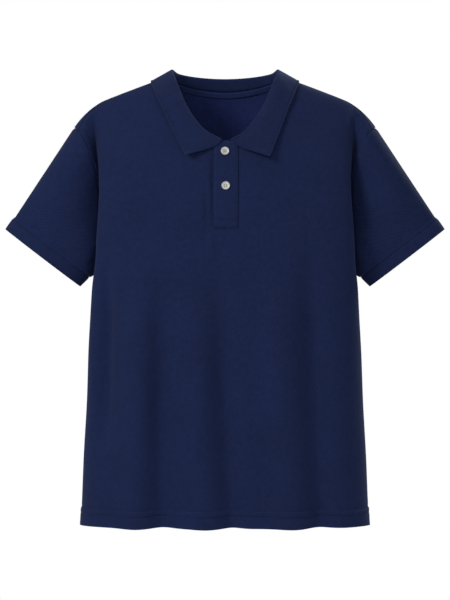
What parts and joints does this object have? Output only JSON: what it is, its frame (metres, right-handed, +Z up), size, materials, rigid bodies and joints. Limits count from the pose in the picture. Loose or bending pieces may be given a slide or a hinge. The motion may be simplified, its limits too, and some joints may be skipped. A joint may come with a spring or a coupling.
{
  "type": "polo shirt",
  "caption": "Short-sleeved polo shirt with a turned-down rib collar, buttoned half placket, rib cuffs and straight hem, hanging filled out with no wearer.",
  "frame": {"origin": "midway between the two high shoulder points, where the wearer's shoulders hold the shirt up", "axes": "+Z up, -Y towards the shirt's front, +X towards the wearer's left"},
  "size_m": [0.7026, 0.2124, 0.7267],
  "materials": {
    "pique": "matte cotton pique knit, navy",
    "rib": "matte flat-knitted rib, navy",
    "tape": "matte twill tape, navy",
    "button_resin": "polished off-white polyester resin"
  },
  "bodies": {
    "root": {"front_panel": "pique", "back_panel": "pique", "sleeve_left": "pique", "sleeve_right": "pique", "placket_upper": "pique", "placket_under": "pique", "cuff_left": "rib", "cuff_right": "rib", "collar": "rib", "neck_tape": "tape", "button_upper": "button_resin", "button_lower": "button_resin"}
  },
  "joints": []
}
